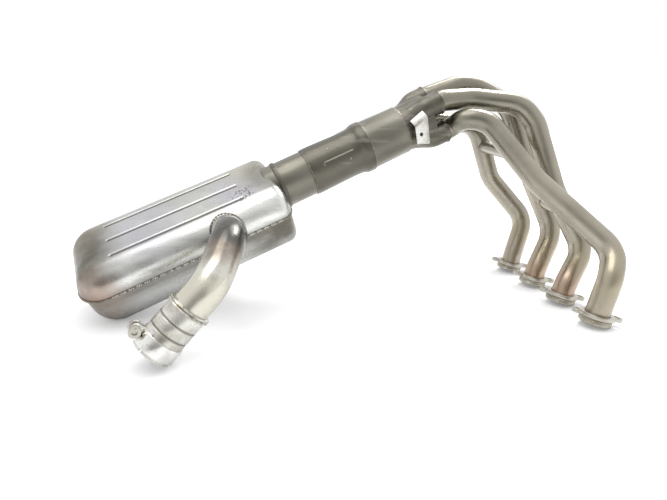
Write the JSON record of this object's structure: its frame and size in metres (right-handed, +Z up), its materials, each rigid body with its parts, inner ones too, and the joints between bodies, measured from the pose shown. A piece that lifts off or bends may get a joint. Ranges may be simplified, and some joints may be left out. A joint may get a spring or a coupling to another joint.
{
  "type": "motorcycle exhaust header",
  "caption": "Exhaust header whose bent primary tubes join in a collector, with a catalyst pipe, a ribbed chamber and a curved outlet with a clamp.",
  "frame": {"origin": "middle of the box's underside, at the floor the part lies on", "axes": "+X from the chamber towards the ports along the longest side, +Y from the near port to the far port, +Z up from the floor"},
  "size_m": [0.851, 0.3724, 0.3737],
  "materials": {
    "tube_steel": "satin, heat tinted brown",
    "collar_steel": "turned, heat tinted",
    "plate_steel": "bright, brushed",
    "dark_steel": "satin, dark with heat and dirt",
    "core_foil": "dull foil honeycomb",
    "bracket_steel": "bright sheet",
    "chamber_steel": "polished sheet with soot and heat tint",
    "outlet_steel": "polished, heat tinted",
    "clamp_steel": "zinc plated, stained"
  },
  "bodies": {
    "root": {"primary_tube_1": "tube_steel", "primary_tube_2": "tube_steel", "primary_tube_3": "tube_steel", "primary_tube_4": "tube_steel", "port_collar_1": "collar_steel", "port_collar_2": "collar_steel", "port_collar_3": "collar_steel", "port_collar_4": "collar_steel", "flange_plate_1": "plate_steel", "flange_plate_2": "plate_steel", "flange_plate_3": "plate_steel", "flange_plate_4": "plate_steel", "balance_tube_outer": "tube_steel", "balance_tube_inner": "tube_steel", "collector": "dark_steel", "support_bracket": "bracket_steel", "front_pipe": "dark_steel", "catalyst_casing": "dark_steel", "catalyst_core": "core_foil", "rear_pipe": "dark_steel", "chamber_upper_shell": "chamber_steel", "chamber_lower_shell": "chamber_steel", "chamber_inlet_ring": "dark_steel", "chamber_front_baffle": "chamber_steel", "chamber_rear_baffle": "chamber_steel", "outlet_pipe": "outlet_steel", "outlet_weld_ring": "outlet_steel", "outlet_socket": "outlet_steel", "clamp_band": "clamp_steel", "clamp_bolt": "clamp_steel", "clamp_nut": "clamp_steel"}
  },
  "joints": []
}
